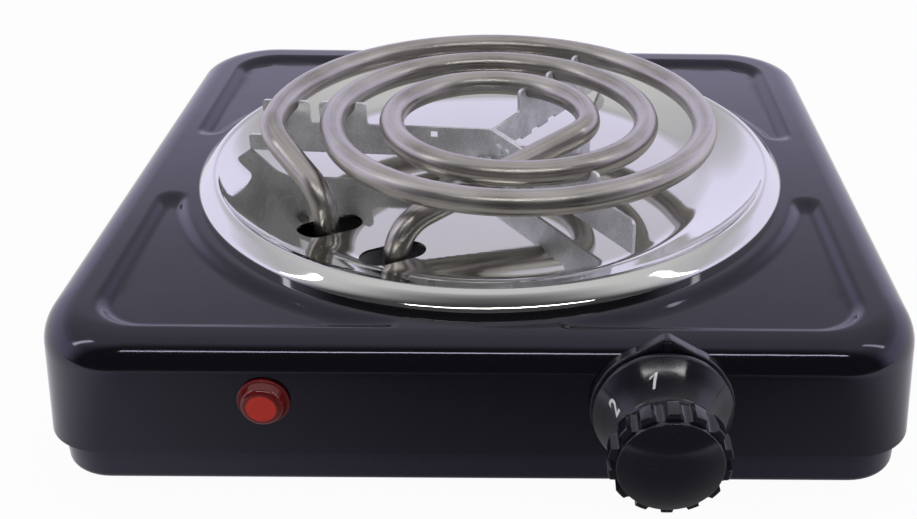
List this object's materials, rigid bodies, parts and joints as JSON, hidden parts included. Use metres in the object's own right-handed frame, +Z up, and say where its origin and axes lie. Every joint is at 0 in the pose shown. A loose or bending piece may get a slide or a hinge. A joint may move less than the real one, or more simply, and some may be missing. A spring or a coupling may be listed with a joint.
{
  "type": "hot plate burner",
  "caption": "Single-coil electric hot plate: black pressed housing, chrome drip pan, spiral element on a trivet, rotary heat knob and red lamp.",
  "frame": {"origin": "on the table under the middle of the whole part's bounding box, feet at z = 0", "axes": "+X to the user's right, +Y to the back, -Y the front with the knob and lamp, +Z up"},
  "size_m": [0.226, 0.2518, 0.0714],
  "materials": {
    "black_gloss_paint": "gloss enamel",
    "chrome_pan": "mirror chrome plate",
    "sheath_steel": "satin, warm grey",
    "ceramic_white": "unglazed white",
    "plated_steel": "bright zinc plate",
    "galvanised_strip": "galvanised sheet",
    "knob_black": "moulded, high gloss",
    "brass": "plain",
    "lens_red": "translucent red",
    "bulb_glass": "clear neon bulb",
    "plug_white": "moulded",
    "rubber_black": "matt",
    "wire_brown": "silicone insulation",
    "wire_blue": "silicone insulation",
    "wire_white": "silicone insulation",
    "wire_green": "silicone insulation"
  },
  "bodies": {
    "base": {"base_pan": "black_gloss_paint", "bezel_screws": "plated_steel", "bimetal_blade": "brass", "block_screws": "plated_steel", "bridge_bracket": "galvanised_strip", "bridge_rivets": "plated_steel", "cable_inlet": "rubber_black", "centre_nut": "plated_steel", "centre_screw": "plated_steel", "clamp_screws": "plated_steel", "coil_pins": "plated_steel", "coil_seals": "ceramic_white", "coil_wire_one": "wire_blue", "coil_wire_two": "wire_brown", "drip_pan": "chrome_pan", "earth_screw": "plated_steel", "earth_wire": "wire_green", "foot_back_left": "rubber_black", "foot_back_right": "rubber_black", "foot_front_left": "rubber_black", "foot_front_right": "rubber_black", "foot_screws": "plated_steel", "heating_coil": "sheath_steel", "indicator_bulb": "bulb_glass", "indicator_lens": "lens_red", "indicator_plug": "plug_white", "indicator_push_nut": "plated_steel", "knob_bezel": "knob_black", "lamp_wires": "wire_white", "leg_clamp_plate": "galvanised_strip", "live_wire": "wire_brown", "load_wire": "wire_brown", "pan_spacer": "plated_steel", "pole_screws": "brass", "post_back_left": "galvanised_strip", "post_back_right": "galvanised_strip", "post_front_left": "galvanised_strip", "post_front_right": "galvanised_strip", "spring_blade": "brass", "stack_rivet": "plated_steel", "terminal_block": "ceramic_white", "thermostat_bush": "brass", "thermostat_discs": "ceramic_white", "thermostat_frame": "galvanised_strip", "top_housing": "black_gloss_paint", "trivet_long_strip": "galvanised_strip", "trivet_rivets": "galvanised_strip", "trivet_short_strip": "galvanised_strip"},
    "knob": {"knob": "knob_black", "knob_clip": "plated_steel", "thermostat_shaft": "plated_steel"}
  },
  "joints": [
    {"name": "knob_turn", "type": "hinge", "parent": "base", "child": "knob", "pos_m": [0.0452, -0.0973, 0.0347], "axis": [0, 1, 0], "range_deg": [0, 235]}
  ]
}
